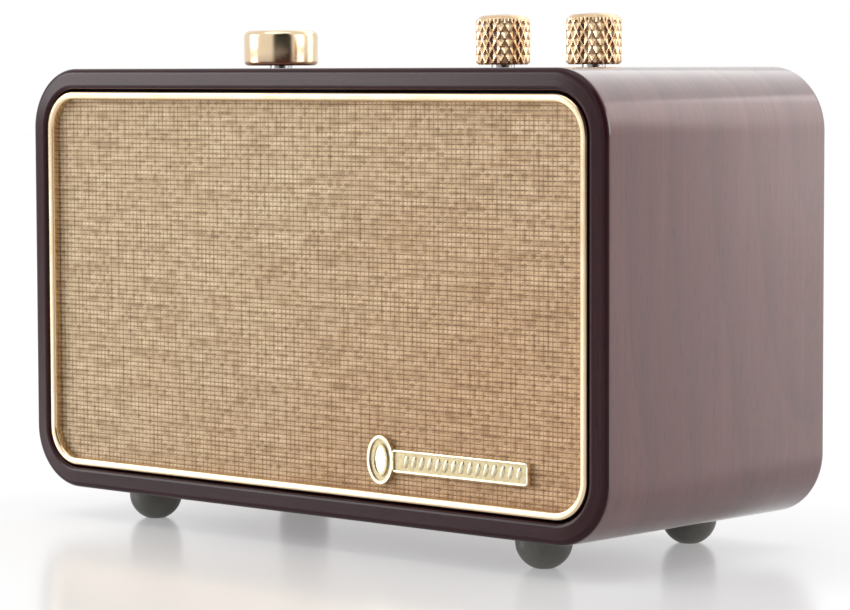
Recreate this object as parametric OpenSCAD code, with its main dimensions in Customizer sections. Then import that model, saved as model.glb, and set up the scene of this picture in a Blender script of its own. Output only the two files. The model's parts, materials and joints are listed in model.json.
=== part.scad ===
// A small table-top portable radio: a veneered wooden loop cabinet on four
// rubber feet, a cloth grille in a gilt bezel, and three knobs on the top.
// The origin is on the table, under the middle of the cabinet. The front
// faces -Y and +X is to the right of someone who looks at the front.

/* [Cabinet] */
// Width over the veneer
cabinet_w = 200; // [165:1:260]
// Depth from the front edge to the back edge
cabinet_d = 86.5; // [72:0.5:120]
// Height of the cabinet without its feet
cabinet_h = 112; // [93:1:150]
// Outer radius of the four bent corners
corner_r = 16; // [12:1:24]
// Thickness of the veneered wall
wall = 5.5; // [4.5:0.5:8]

/* [Front] */
// Dark gap between the bezel and the cabinet wall
bezel_gap = 0.5; // [0.3:0.1:1]
// Width of the bezel's face
bezel_w = 2.1; // [1.5:0.1:4]
// Depth of the bezel ring
bezel_d = 2.4; // [1.5:0.1:4]
// How far the bezel sits behind the front edge
bezel_recess = 0; // [0:0.1:2]
// Thickness of the grille cloth
cloth_t = 0.6; // [0.4:0.1:1.2]
// Thickness of the grille frame
grille_t = 4; // [3:0.5:6]
// Radius of the grille frame's two windows
window_r = 31; // [26:0.5:37]
// Thickness of the baffle board
baffle_t = 6; // [5:0.5:9]

/* [Badge] */
// Length of the badge bar
badge_w = 47; // [35:1:60]
// Height of the badge bar
badge_h = 5.6; // [4:0.2:8]
// Height of the medallion at the bar's left end
medallion_h = 12; // [8:0.5:16]
// Thickness of the badge
badge_t = 1.4; // [1:0.1:2]
// Distance from the bezel's inner edge to the badge's right end
badge_side = 16.5; // [10:0.5:40]
// Distance from the bezel's inner edge up to the middle of the bar
badge_up = 7.9; // [7:0.1:20]

/* [Knobs] */
// Diameter of the tuning knob
tuning_knob_dia = 20; // [17:0.5:26]
// Height of the tuning knob
tuning_knob_h = 9.4; // [8:0.2:14]
// Diameter of the volume and tone knobs over the knurl
small_knob_dia = 13.8; // [12:0.2:18]
// Height of the volume and tone knobs
small_knob_h = 12.7; // [10:0.1:16]
// Gap between the cabinet top and the knobs
knob_gap = 0.7; // [0.6:0.1:1.5]
// Distance from the cabinet's side to the outer knobs
knob_inset = 45; // [35:1:60]
// Distance between the volume and tone knobs
knob_pitch = 30; // [22:1:36]
// Distance from the back edge to the row of knobs
knob_from_back = 36.5; // [34:0.5:45]
// Diameter of the control shafts
shaft_dia = 6; // [5:0.1:7.2]
// How far the tuning knob can be pressed
push_travel = 0.5; // [0.3:0.1:0.5]

/* [Feet] */
// Diameter of a rubber foot
foot_dia = 14; // [11:0.5:18]
// Height of a rubber foot
foot_h = 8.2; // [7.5:0.1:14]
// Diameter of the flat on which a foot stands
foot_flat_dia = 4.6; // [3:0.1:8]
// Distance from the cabinet's side to a foot's middle
foot_inset_x = 31.5; // [24:0.5:45]
// Distance from the cabinet's front or back edge to a foot's middle
foot_inset_y = 15; // [12:0.5:22]

/* [Drivers] */
// Radius of a driver's flange
flange_r = 33; // [28:0.5:39]
// Thickness of the pressed steel basket
basket_t = 1.2; // [0.8:0.1:1.6]
// Height of the basket from the flange to its bottom plate
basket_h = 14.2; // [13:0.2:20]
// Radius of a driver's magnet
magnet_r = 16.5; // [14:0.5:20]
// Thickness of a driver's magnet
magnet_t = 6; // [5:0.5:10]
// Thickness of the top plate and of the back plate
plate_t = 3; // [2.5:0.5:5]
// Outer radius of the voice coil former
former_r = 6.5; // [6:0.1:7.2]
// Distance that a cone moves each way
cone_travel = 1.5; // [0.5:0.1:1.6]
// Thickness of the driver gaskets
driver_gasket_t = 0.6; // [0.4:0.1:1.2]

/* [Back] */
// How far the back panel sits inside the back edge
panel_recess = 2.5; // [2:0.1:5]
// Thickness of the back panel
panel_t = 3; // [2:0.5:5]
// Thickness of the foam gasket
gasket_t = 1; // [0.6:0.1:2]
// Width of the wooden frame that the panel seats on
rear_frame_w = 8; // [6:0.5:12]
// Depth of the wooden frame that the panel seats on
rear_frame_d = 7; // [5:0.5:10]
// Bore radius of the bass port
port_r = 11.5; // [8:0.5:14]
// Wall thickness of the bass port
port_wall = 1.5; // [1:0.1:2.5]

/* [Electronics] */
// Width of the main board
main_board_w = 65; // [55:1:75]
// Height of the main board
main_board_h = 46; // [40:1:55]
// Thickness of both circuit boards
pcb_t = 1.6; // [1:0.1:2]
// Height of the posts between the back panel and the main board
boss_h = 6; // [5.8:0.1:9]
// Depth of the control board
control_board_d = 22; // [18:1:24]
// Height of the spacers above the control board
spacer_h = 9; // [8.5:0.5:14]
// Radius of a battery cell
cell_r = 9.2; // [7:0.1:11]
// Length of a battery cell
cell_l = 65.2; // [50:0.2:72]
// Radius of the ferrite aerial rod
rod_r = 4; // [3:0.1:4.6]
// Length of the ferrite aerial rod
rod_l = 80; // [60:1:100]

/* [Hidden] */

$fn = 64;
glue = 0.05;      // glue line between two bonded pieces
fit = 0.25;       // gap round a piece that drops into a recess
cut = 1;          // how far a cutting tool runs past a face
shaft_play = 0.04; // running clearance of a shaft, on the radius
screw_play = 0.2;  // gap round a screw's shank in a through hole

// Levels and places of the cabinet.
mid_z = foot_h + cabinet_h / 2;
floor_z = foot_h + wall;
top_z = foot_h + cabinet_h;
ceiling_z = top_z - wall;
front_y = -cabinet_d / 2;
back_y = cabinet_d / 2;
inner_w = cabinet_w - 2 * wall;
inner_h = cabinet_h - 2 * wall;
inner_r = corner_r - wall;
foot_x = cabinet_w / 2 - foot_inset_x;
foot_y = cabinet_d / 2 - foot_inset_y;

// The stack behind the front edge.
bezel_back_y = front_y + bezel_recess + bezel_d;
cloth_y = bezel_back_y + glue;
grille_y = cloth_y + cloth_t + glue;
baffle_y = grille_y + grille_t + glue;
driver_y = baffle_y + baffle_t + driver_gasket_t; // front face of the driver flanges
driver_x = inner_w / 4;
bezel_ow = inner_w - 2 * bezel_gap;
bezel_oh = inner_h - 2 * bezel_gap;
bezel_or = inner_r - bezel_gap;
grille_ow = bezel_ow - 2 * (cloth_t + glue);
grille_oh = bezel_oh - 2 * (cloth_t + glue);
grille_or = bezel_or - cloth_t - glue;
peg_inset = [9, 7];         // from the grille frame's side and from its top or bottom
peg_x = grille_ow / 2 - peg_inset[0];
peg_z = grille_oh / 2 - peg_inset[1];
peg_r = 2;
peg_l = 4.5;
badge_right = bezel_ow / 2 - bezel_w - badge_side;
badge_z = mid_z - bezel_oh / 2 + bezel_w + badge_up;
badge_rim = 0.5;
badge_pin_r = 0.8;

// The drivers, measured back from the flange's front face.
flange_w = 4.4;             // flat of the flange that lies on the baffle
lip_w = 1.8;                // ring on which the surround is glued
lip_gap = 0.3;
roll_w = 4.4;               // width of the surround's half roll
neck_h = 5.2;               // height of the basket behind the spider's ledge
ledge_w = 3.2;              // width of the spider's ledge
ledge_over = 2.4;           // how far the ledge reaches past the magnet
winding_w = 0.5;
air_gap = 0.5;              // gap between the winding and the top plate
pole_gap = 0.6;             // gap between the former and the pole
hole_r = flange_r - flange_w;
lip_r = hole_r - lip_gap;
roll_out_r = lip_r - lip_w;
cone_r = roll_out_r - roll_w;
roll_r = roll_w / 2;
rubber_t = 0.5;
paper_t = 0.5;
cone_lap = 1.6;             // width of the cone's edge under the surround
ledge_t = basket_h - neck_h;
ledge_r = magnet_r + ledge_over;
neck_r = ledge_r - ledge_w;
cone_neck_t = ledge_t - cone_travel;
winding_r = former_r + winding_w;
gap_r = winding_r + air_gap; // hole in the top plate
pole_r = former_r - pole_gap;
top_plate_t = basket_h;     // front face of the top plate
magnet_front_t = top_plate_t + plate_t;
yoke_t = magnet_front_t + magnet_t;
driver_depth = yoke_t + plate_t;
driver_screw_r = (flange_r + hole_r) / 2;
screw_turns = [45 : 90 : 315];

// The back.
panel_out_y = back_y - panel_recess;
panel_in_y = panel_out_y - panel_t;
gasket_in_y = panel_in_y - gasket_t;
rear_frame_y = gasket_in_y - rear_frame_d;
rear_frame_r = 4;           // inner corner radius of the frame and its gasket
panel_screw_x = inner_w / 2 - rear_frame_w / 2;
panel_screw_z = inner_h / 2 - rear_frame_w / 2;
// The corner screws stand in from the bend, and one more sits above and below the middle.
panel_screws = [for (sx = [-1, 1], sz = [-1, 1]) [sx * (panel_screw_x - inner_r), sz * panel_screw_z],
                for (sx = [-1, 1]) [sx * panel_screw_x, 0]];
port_x = driver_x;
port_out_r = port_r + port_wall;
port_flange_w = 4;
port_flange_r = port_out_r + port_flange_w;
port_clear = 7;             // free space between the port and the magnet behind it
port_in_y = driver_y + driver_depth + port_clear;

// The electronics.
board_back_y = panel_in_y - boss_h;
board_front_y = board_back_y - pcb_t;
board_side = 16;            // from the rear frame's inner edge to the main board
boss_inset = 4;             // from the board's edges to the middle of a boss
boss_r = 3;
usb_shift = 6;              // from the board's middle to the USB socket's
aux_shift = -12;            // from the board's middle to the audio socket's
socket_up = 9;              // from the board's lower edge to the sockets' middle
board_x = -(inner_w / 2 - rear_frame_w - board_side) + main_board_w / 2;
board_z = mid_z;
boss_x = main_board_w / 2 - boss_inset;
boss_z = main_board_h / 2 - boss_inset;
usb_x = board_x + usb_shift;
aux_x = board_x + aux_shift;
socket_z = board_z - main_board_h / 2 + socket_up;
socket_lip = 0.3;           // how far the sockets stay inside the panel's face
shaft_r = shaft_dia / 2;
bushing_wall = 0.6;
bushing_r = shaft_r + bushing_wall;
bushing_gap = 0.4;          // gap round a bushing in the cabinet's top
knob_y = back_y - knob_from_back;
outer_knob_x = cabinet_w / 2 - knob_inset;
tuning_x = -outer_knob_x;
tone_x = outer_knob_x;
volume_x = tone_x - knob_pitch;
control_top_z = ceiling_z - spacer_h; // upper face of the control board
control_board_over = 19;    // how far the board runs past the outer controls
spacer_inset = [4, 3.5];    // from the board's end and from its long edge
control_body_h = 6.5;
bushing_below = 2.5;        // how far a bushing's end stays below the cabinet's top
control_board_w = 2 * (outer_knob_x + control_board_over);
spacer_x = control_board_w / 2 - spacer_inset[0];
spacer_y = control_board_d / 2 - spacer_inset[1];
bushing_h = spacer_h - control_body_h + wall - bushing_below;
knob_z = top_z + knob_gap;
bore_top = 3;               // metal left above a knob's bore
rod_back = 1.8;             // from the rear frame to the rod
rod_down = 7;               // from the ceiling to the rod's middle
rod_y = rear_frame_y - rod_r - rod_back;
rod_z = ceiling_z - rod_down;
tray_wall = 1.6;
tray_play = 0.3;
tray_l = cell_l + 2 * (tray_wall + tray_play);
tray_d = 4 * cell_r + 3 * tray_play + 2 * tray_wall;
tray_h = 14;
tray_back = 1;              // from the rear frame to the tray
tray_reach = 8.5;           // how far the tray's left end reaches past the battery header
battery_header_x = board_x + main_board_w / 2 - 10.5;
tray_left = battery_header_x - tray_reach;
tray_x = tray_left + tray_l / 2;
tray_y = rear_frame_y - tray_back - tray_d / 2;

// A rounded rectangle about the origin.
module rounded_rect(w, h, r) {
    square([w - 2 * r, h], center = true);
    square([w, h - 2 * r], center = true);
    for (sx = [-1, 1], sz = [-1, 1])
        translate([sx * (w / 2 - r), sz * (h / 2 - r)]) circle(r);
}

// A rounded plate that stands upright on the cabinet's middle, from y0 to y1.
module slab(w, h, r, y0, y1) {
    translate([0, y1, mid_z]) rotate([90, 0, 0]) linear_extrude(y1 - y0) rounded_rect(w, h, r);
}

// A round bar along Y, from y0 to y1.
module bar_y(x, z, r, y0, y1) {
    translate([x, y1, z]) rotate([90, 0, 0]) cylinder(r = r, h = y1 - y0);
}

// A screw whose head's underside is on z = 0 and whose shank points up.
module screw_up(r, l, head_r, head_h) {
    cylinder(r = r, h = l);
    translate([0, 0, -head_h]) cylinder(r = head_r, h = head_h);
}

// Puts a child that is turned about its own Z axis on a driver's axis,
// with +Z pointing back into the cabinet.
module on_driver(side) {
    translate([side * driver_x, driver_y, mid_z]) rotate([-90, 0, 0]) children();
}

// A tube that is swept along a smooth curve through a few points. Each stretch leaves its
// first point and meets its second one along the headings there, at its own length's pull.
function unit(v) = v / norm(v);
function heading(p, i) = unit(p[min(i + 1, len(p) - 1)] - p[max(i - 1, 0)]);
function stretch(b, c, leave, meet, t) =
    (1 + 2 * t) * pow(1 - t, 2) * b + t * pow(1 - t, 2) * leave
    + t * t * (3 - 2 * t) * c + t * t * (t - 1) * meet;
function curve(p, steps) = concat(
    [for (i = [0 : len(p) - 2], k = [0 : steps - 1])
        let (pull = norm(p[i + 1] - p[i]))
        stretch(p[i], p[i + 1], pull * heading(p, i), pull * heading(p, i + 1), k / steps)],
    [p[len(p) - 1]]);
// The two end faces are square to the first and the last stretch of the route.
function tangent(p, c, i) =
    i == 0 ? heading(p, 0) : i == len(c) - 1 ? heading(p, len(p) - 1) : unit(c[i + 1] - c[i - 1]);
module lead(points, r, sides = 8, steps = 4) {
    c = curve(points, steps);
    n = len(c);
    rings = [for (i = [0 : n - 1])
        let (t = tangent(points, c, i), u = unit(cross(t, [0.31, 0.17, 0.94])), v = cross(t, u))
        for (k = [0 : sides - 1]) c[i] + r * (cos(360 * k / sides) * u + sin(360 * k / sides) * v)];
    polyhedron(rings, concat(
        [[for (k = [0 : sides - 1]) k]],
        [for (i = [0 : n - 2], k = [0 : sides - 1])
            let (a = i * sides + k, b = i * sides + (k + 1) % sides)
            [a, a + sides, b + sides, b]],
        [[for (k = [sides - 1 : -1 : 0]) (n - 1) * sides + k]]));
}

// --- Cabinet ---------------------------------------------------------------

module cabinet() {
    color([0.27, 0.13, 0.11]) difference() {
        slab(cabinet_w, cabinet_h, corner_r, front_y, back_y);
        slab(inner_w, inner_h, inner_r, front_y - cut, back_y + cut);
        for (x = [tuning_x, volume_x, tone_x])
            translate([x, knob_y, ceiling_z - cut]) cylinder(r = bushing_r + bushing_gap, h = wall + 2 * cut);
        at_feet() {
            translate([0, 0, foot_h - cut]) cylinder(r = foot_screw_r + glue, h = wall + 2 * cut);
            translate([0, 0, floor_z - foot_head_h - fit]) cylinder(r = foot_head_r + fit, h = wall);
        }
        at_spacers() translate([0, 0, ceiling_z - cut])
            cylinder(r = spacer_screw_r + glue, h = cut + spacer_bite + fit);
    }
}

module rear_frame() {
    color([0.76, 0.62, 0.44]) difference() {
        slab(inner_w - 2 * glue, inner_h - 2 * glue, inner_r - glue, rear_frame_y, gasket_in_y);
        slab(inner_w - 2 * rear_frame_w, inner_h - 2 * rear_frame_w, rear_frame_r,
             rear_frame_y - cut, gasket_in_y + cut);
        at_panel_screws() bar_y(0, 0, panel_screw_r + glue, rear_frame_y + panel_pilot_floor, panel_in_y);
    }
}

module baffle() {
    color([0.18, 0.16, 0.15]) difference() {
        slab(inner_w - 2 * glue, inner_h - 2 * glue, inner_r - glue, baffle_y, baffle_y + baffle_t);
        for (side = [-1, 1]) {
            bar_y(side * driver_x, mid_z, hole_r, baffle_y - cut, baffle_y + baffle_t + cut);
            on_driver(side) at_driver_screws()
                translate([0, 0, -driver_gasket_t - driver_screw_bite - fit])
                    cylinder(r = driver_screw_shank_r + glue, h = driver_screw_bite + fit + cut);
        }
        for (sx = [-1, 1], sz = [-1, 1])
            bar_y(sx * peg_x, mid_z + sz * peg_z, peg_r + glue, baffle_y - cut, baffle_y + baffle_t + cut);
    }
}

module bezel() {
    color([0.93, 0.80, 0.55]) difference() {
        slab(bezel_ow, bezel_oh, bezel_or, bezel_back_y - bezel_d, bezel_back_y);
        slab(bezel_ow - 2 * bezel_w, bezel_oh - 2 * bezel_w, bezel_or - bezel_w,
             bezel_back_y - bezel_d - cut, bezel_back_y + cut);
    }
}

module grille_frame() {
    color([0.16, 0.15, 0.14]) difference() {
        union() {
            slab(grille_ow, grille_oh, grille_or, grille_y, grille_y + grille_t);
            for (sx = [-1, 1], sz = [-1, 1])
                bar_y(sx * peg_x, mid_z + sz * peg_z, peg_r, grille_y, grille_y + grille_t + peg_l);
        }
        for (side = [-1, 1])
            bar_y(side * driver_x, mid_z, window_r, grille_y - cut, grille_y + grille_t + cut);
        at_badge_pins() bar_y(0, 0, badge_pin_r + glue, grille_y - cut, grille_y + grille_t + cut);
    }
}

// The cloth covers the frame's face and is wrapped round its edge.
module grille_cloth() {
    color([0.80, 0.67, 0.47]) difference() {
        slab(bezel_ow, bezel_oh, bezel_or, cloth_y, grille_y + grille_t);
        slab(grille_ow + 2 * glue, grille_oh + 2 * glue, grille_or + glue,
             grille_y - glue, grille_y + grille_t + cut);
        at_badge_pins() bar_y(0, 0, badge_pin_r + glue, cloth_y - cut, grille_y + cut);
    }
}

// A fluted bar with a lozenge-shaped medallion at its left end and two pins behind.
badge_front_y = cloth_y - glue - badge_t;
badge_bar_w = badge_w - 3;
medallion_x = badge_right - badge_w - 1;
badge_pins = [medallion_x + 1, badge_right - 6];
flute_pitch = 2.6;
flute_r = 0.65;
module at_badge_pins() { for (x = badge_pins) translate([x, 0, badge_z]) children(); }
module badge() {
    bar_x = badge_right - badge_bar_w / 2;
    color([0.95, 0.86, 0.62]) {
        difference() {
            union() {
                translate([bar_x, cloth_y - glue, badge_z]) rotate([90, 0, 0])
                    linear_extrude(badge_t) rounded_rect(badge_bar_w, badge_h, 1);
                translate([medallion_x, cloth_y - glue, badge_z]) rotate([90, 0, 0])
                    linear_extrude(badge_t) scale([0.72, 1]) circle(medallion_h / 2);
            }
            translate([bar_x + 1.5, badge_front_y + badge_rim, badge_z]) rotate([90, 0, 0])
                linear_extrude(badge_rim + cut)
                    rounded_rect(badge_bar_w - 5, badge_h - 2 * badge_rim - 0.6, 0.5);
        }
        for (i = [0 : floor((badge_bar_w - 9) / flute_pitch)])
            translate([badge_right - 3.2 - i * flute_pitch, badge_front_y + flute_r, badge_z])
                cylinder(r = flute_r, h = badge_h - 2.2, center = true);
        at_badge_pins() bar_y(0, 0, badge_pin_r, cloth_y - glue, grille_y + grille_t - 0.5);
    }
}

// --- Feet ------------------------------------------------------------------

foot_screw_r = 1.5;
foot_head_r = 2.75;
foot_head_h = 1.7;
foot_bite = 4;
module at_feet() {
    for (sx = [-1, 1], sy = [-1, 1]) translate([sx * foot_x, sy * foot_y, 0]) children();
}

// A rubber dome with a short straight skirt and a small flat to stand on.
module foot(sx, sy) {
    dome_r = foot_dia / 2;
    skirt_h = foot_h - glue - dome_r * 0.93;
    low = -asin(sqrt(1 - pow(foot_flat_dia / foot_dia, 2)));
    drop = (foot_h - glue - skirt_h) / (dome_r * sin(-low));
    color([0.20, 0.20, 0.21]) translate([sx * foot_x, sy * foot_y, 0]) difference() {
        rotate_extrude() polygon(concat(
            [[0, foot_h - glue], [0, 0]],
            [for (i = [0 : 24]) let (a = low * (1 - i / 24))
                [dome_r * cos(a), foot_h - glue - skirt_h + drop * dome_r * sin(a)]],
            [[dome_r, foot_h - glue]]));
        translate([0, 0, foot_h - foot_bite - fit])
            cylinder(r = foot_screw_r + glue, h = foot_bite + cut);
    }
}
module foot_front_left() foot(-1, -1);
module foot_front_right() foot(1, -1);
module foot_rear_left() foot(-1, 1);
module foot_rear_right() foot(1, 1);

module foot_screws() {
    color([0.6, 0.6, 0.62]) at_feet() translate([0, 0, floor_z - foot_head_h - glue])
        mirror([0, 0, 1]) screw_up(foot_screw_r, wall - foot_head_h - glue + foot_bite, foot_head_r, foot_head_h);
}

// --- Back ------------------------------------------------------------------

panel_screw_r = 1.5;
panel_head_r = 3;
panel_head_h = 1.8;
panel_pilot_floor = 1;      // wood left in front of a screw's pilot hole
panel_cross = [3.4, 1.6, 0.8]; // one slot of a screw head's cross
module at_panel_screws() { for (p = panel_screws) translate([p[0], 0, mid_z + p[1]]) children(); }
module at_bosses() {
    for (sx = [-1, 1], sz = [-1, 1]) translate([board_x + sx * boss_x, 0, board_z + sz * boss_z]) children();
}

board_screw_r = 1.3;
board_head_r = 2.5;
board_head_h = 1.5;
module rear_panel() {
    color([0.12, 0.12, 0.13]) difference() {
        union() {
            slab(inner_w - 2 * fit, inner_h - 2 * fit, inner_r - fit, panel_in_y, panel_out_y);
            at_bosses() bar_y(0, 0, boss_r, board_back_y + glue, panel_in_y + glue);
        }
        at_bosses() bar_y(0, 0, board_screw_r + glue, board_back_y - cut, panel_in_y + 1);
        at_panel_screws() bar_y(0, 0, panel_screw_r + screw_play, panel_in_y - cut, panel_out_y + cut);
        bar_y(port_x, mid_z, port_out_r + fit, panel_in_y - cut, panel_out_y + cut);
        bar_y(aux_x, socket_z, aux_barrel_r + fit, panel_in_y - cut, panel_out_y + cut);
        translate([usb_x, panel_out_y + cut, socket_z]) rotate([90, 0, 0])
            linear_extrude(panel_t + 2 * cut)
                rounded_rect(usb_w + 2 * fit, usb_h + 2 * fit, usb_h / 2 + fit - 0.05);
    }
}

module rear_gasket() {
    color([0.10, 0.10, 0.10]) difference() {
        slab(inner_w - 2 * fit, inner_h - 2 * fit, inner_r - fit, gasket_in_y + glue, panel_in_y - glue);
        slab(inner_w - 2 * rear_frame_w + 1, inner_h - 2 * rear_frame_w + 1, rear_frame_r,
             gasket_in_y - cut, panel_in_y + cut);
        at_panel_screws() bar_y(0, 0, panel_screw_r + screw_play, gasket_in_y - cut, panel_in_y + cut);
    }
}

module rear_panel_screws() {
    color([0.15, 0.15, 0.16]) at_panel_screws() {
        bar_y(0, 0, panel_screw_r, rear_frame_y + panel_pilot_floor + 1, panel_out_y + glue);
        difference() {
            bar_y(0, 0, panel_head_r, panel_out_y + glue, panel_out_y + glue + panel_head_h);
            for (turn = [0, 90]) translate([0, panel_out_y + panel_head_h, 0]) rotate([0, turn, 0])
                cube(panel_cross, center = true);
        }
    }
}

// A tube with a flared mouth whose rim lies on the panel's face.
module bass_port() {
    rim_t = 1.5;
    flare = 2.6;
    length = panel_out_y - port_in_y;
    color([0.10, 0.10, 0.11]) translate([port_x, panel_out_y + glue, mid_z]) rotate([90, 0, 0])
        rotate_extrude() polygon(concat(
            [[port_out_r, 0], [port_out_r, length], [port_r, length]],
            [for (i = [0 : 8]) let (a = i * 90 / 8)
                [port_r + flare * (1 - cos(a)), flare - rim_t - flare * sin(a)]],
            [[port_flange_r - 0.6, -rim_t], [port_flange_r, -rim_t + 0.6], [port_flange_r, 0]]));
}

// --- Drivers ---------------------------------------------------------------

driver_screw_shank_r = 1.2;
driver_screw_bite = 4.5;
driver_head_r = 1.9;
driver_head_h = 1.3;
module at_driver_screws() { for (a = screw_turns) rotate([0, 0, a]) translate([driver_screw_r, 0, 0]) children(); }

module basket(side) {
    slope_r = hole_r - 0.9;
    color([0.35, 0.36, 0.38]) on_driver(side) {
        difference() {
            rotate_extrude() polygon([
                [roll_out_r, 0], [flange_r, 0], [flange_r, basket_t], [slope_r, basket_t],
                [ledge_r, ledge_t], [ledge_r, ledge_t + basket_t], [neck_r, ledge_t + basket_t],
                [neck_r, basket_h - glue], [gap_r + 0.6, basket_h - glue],
                [gap_r + 0.6, basket_h - basket_t], [neck_r - basket_t, basket_h - basket_t],
                [neck_r - basket_t, ledge_t], [ledge_r - basket_t, ledge_t],
                [slope_r - 1.7, basket_t]]);
            at_driver_screws() translate([0, 0, -cut]) cylinder(r = driver_screw_shank_r + screw_play, h = basket_t + 2 * cut);
            // Windows in the slope let the air behind the cone out.
            for (a = [0 : 90 : 270]) rotate([0, 0, a])
                translate([ledge_r, -7, basket_t + 1]) cube([flange_r, 14, ledge_t - basket_t - 2]);
        }
        // Solder tag on the flange.
        translate([-3, -hole_r - 3, basket_t - 0.1]) cube([6, 1, 4.7]);
    }
}
module left_basket() basket(-1);
module right_basket() basket(1);

module surround(side) {
    middle_r = (roll_out_r + cone_r) / 2;
    color([0.08, 0.08, 0.08]) on_driver(side) rotate_extrude() polygon(concat(
        [[lip_r, -glue], [lip_r, -rubber_t - glue]],
        [for (i = [0 : 12]) let (a = i * 180 / 12)
            [middle_r + roll_r * cos(a), -rubber_t - glue - roll_r * sin(a)]],
        [[cone_r - cone_lap, -rubber_t - glue], [cone_r - cone_lap, -glue]],
        [for (i = [0 : 12]) let (a = 180 - i * 180 / 12)
            [middle_r + (roll_r - rubber_t) * cos(a), -glue - (roll_r - rubber_t) * sin(a)]]));
}
module left_surround() surround(-1);
module right_surround() surround(1);

module cone(side) {
    color([0.14, 0.13, 0.13]) on_driver(side) rotate_extrude() polygon([
        [cone_r - cone_lap, 0], [cone_r, 0], [cone_r, paper_t], [cone_r - 1.3, paper_t],
        [former_r + glue, cone_neck_t + paper_t], [former_r + glue, cone_neck_t - paper_t]]);
}
module left_cone() cone(-1);
module right_cone() cone(1);

// A shallow dome that is glued on the cone's inner slope.
cap_r = former_r + 2.2;
cap_t = cone_neck_t * (cone_r - cone_lap - cap_r) / (cone_r - cone_lap - former_r) - 1;
module dust_cap(side) {
    rise = 2.6;
    color([0.12, 0.12, 0.12]) on_driver(side) rotate_extrude() polygon(concat(
        [for (i = [0 : 10]) let (a = i * 90 / 10) [cap_r * sin(a), cap_t - 0.4 - rise * cos(a)]],
        [for (i = [10 : -1 : 0]) let (a = i * 90 / 10)
            [(cap_r - 0.5) * sin(a), cap_t - (rise - 0.4) * cos(a)]]));
}
module left_dust_cap() dust_cap(-1);
module right_dust_cap() dust_cap(1);

module voice_coil(side) {
    overhang = 0.7; // how far the winding stands out of the top plate at each side
    winding_l = plate_t + 2 * overhang;
    winding_t = top_plate_t - overhang;
    color([0.72, 0.42, 0.22]) on_driver(side) difference() {
        union() {
            translate([0, 0, cone_neck_t - 1]) cylinder(r = former_r, h = winding_t + winding_l - cone_neck_t + 1);
            translate([0, 0, winding_t]) cylinder(r = winding_r, h = winding_l);
        }
        translate([0, 0, -cut]) cylinder(r = former_r - 0.25, h = yoke_t);
    }
}
module left_voice_coil() voice_coil(-1);
module right_voice_coil() voice_coil(1);

// A corrugated disc that centres the voice coil.
module spider(side) {
    spider_t = 0.4;
    waves = 3;
    out_r = neck_r + 1.6;
    in_r = former_r + glue;
    function ripple(r) = 0.6 * sin((r - in_r) / (neck_r - 2 - in_r) * waves * 360);
    radii = [for (i = [0 : 30]) in_r + (neck_r - 2 - in_r) * i / 30];
    level = ledge_t - glue - spider_t;
    color([0.78, 0.62, 0.25]) on_driver(side) rotate_extrude() polygon(concat(
        [for (r = radii) [r, level + ripple(r)]],
        [[out_r, level], [out_r, level + spider_t]],
        [for (i = [30 : -1 : 0]) [radii[i], level + spider_t + ripple(radii[i])]]));
}
module left_spider() spider(-1);
module right_spider() spider(1);

module driver_top_plates() {
    color([0.55, 0.56, 0.58]) for (side = [-1, 1]) on_driver(side) translate([0, 0, top_plate_t]) difference() {
        cylinder(r = magnet_r, h = plate_t - glue);
        translate([0, 0, -cut]) cylinder(r = gap_r, h = plate_t + 2 * cut);
    }
}

module driver_magnets() {
    color([0.16, 0.16, 0.17]) for (side = [-1, 1]) on_driver(side) translate([0, 0, magnet_front_t]) difference() {
        cylinder(r = magnet_r, h = magnet_t - glue);
        translate([0, 0, -cut]) cylinder(r = gap_r + 2.5, h = magnet_t + 2 * cut);
    }
}

module driver_yokes() {
    color([0.55, 0.56, 0.58]) for (side = [-1, 1]) on_driver(side) {
        translate([0, 0, yoke_t]) cylinder(r = magnet_r, h = plate_t);
        translate([0, 0, top_plate_t]) cylinder(r = pole_r, h = yoke_t - top_plate_t + 0.5);
    }
}

module driver_gaskets() {
    color([0.2, 0.2, 0.2]) for (side = [-1, 1]) on_driver(side) difference() {
        translate([0, 0, -driver_gasket_t + glue]) cylinder(r = flange_r, h = driver_gasket_t - 2 * glue);
        translate([0, 0, -cut]) cylinder(r = hole_r, h = 2 * cut);
        at_driver_screws() translate([0, 0, -cut]) cylinder(r = driver_screw_shank_r + screw_play, h = 2 * cut);
    }
}

module driver_screws() {
    color([0.6, 0.6, 0.62]) for (side = [-1, 1]) on_driver(side) at_driver_screws()
        translate([0, 0, basket_t + glue]) mirror([0, 0, 1])
            screw_up(driver_screw_shank_r, basket_t + glue + driver_gasket_t + driver_screw_bite,
                     driver_head_r, driver_head_h);
}

// --- Receiver and amplifier ------------------------------------------------

header = [9, 5, 5]; // a plug and header for a lead
header_z = board_z + main_board_h / 2 - 11;
driver_header_x = [board_x - 18, board_x + 18];
control_header_x = board_x;
battery_header_z = board_z - main_board_h / 2 + 10;
cap_x = [board_x - 22, board_x - 12];
module main_board() {
    color([0.10, 0.32, 0.20]) difference() {
        union() {
            translate([board_x - main_board_w / 2, board_front_y, board_z - main_board_h / 2])
                cube([main_board_w, pcb_t, main_board_h]);
            for (x = concat(driver_header_x, [control_header_x])) main_header(x, header_z);
            main_header(battery_header_x, battery_header_z);
            // Two reservoir capacitors that are soldered to the board.
            for (x = cap_x) bar_y(x, board_z - 8, 4, board_front_y - 10, board_front_y + 0.1);
        }
        at_bosses() bar_y(0, 0, board_screw_r + screw_play, board_front_y - cut, board_back_y + cut);
    }
}
module main_header(x, z) {
    translate([x - header[0] / 2, board_front_y - header[1], z - header[2] / 2])
        cube([header[0], header[1] + 0.1, header[2]]);
}

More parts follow.
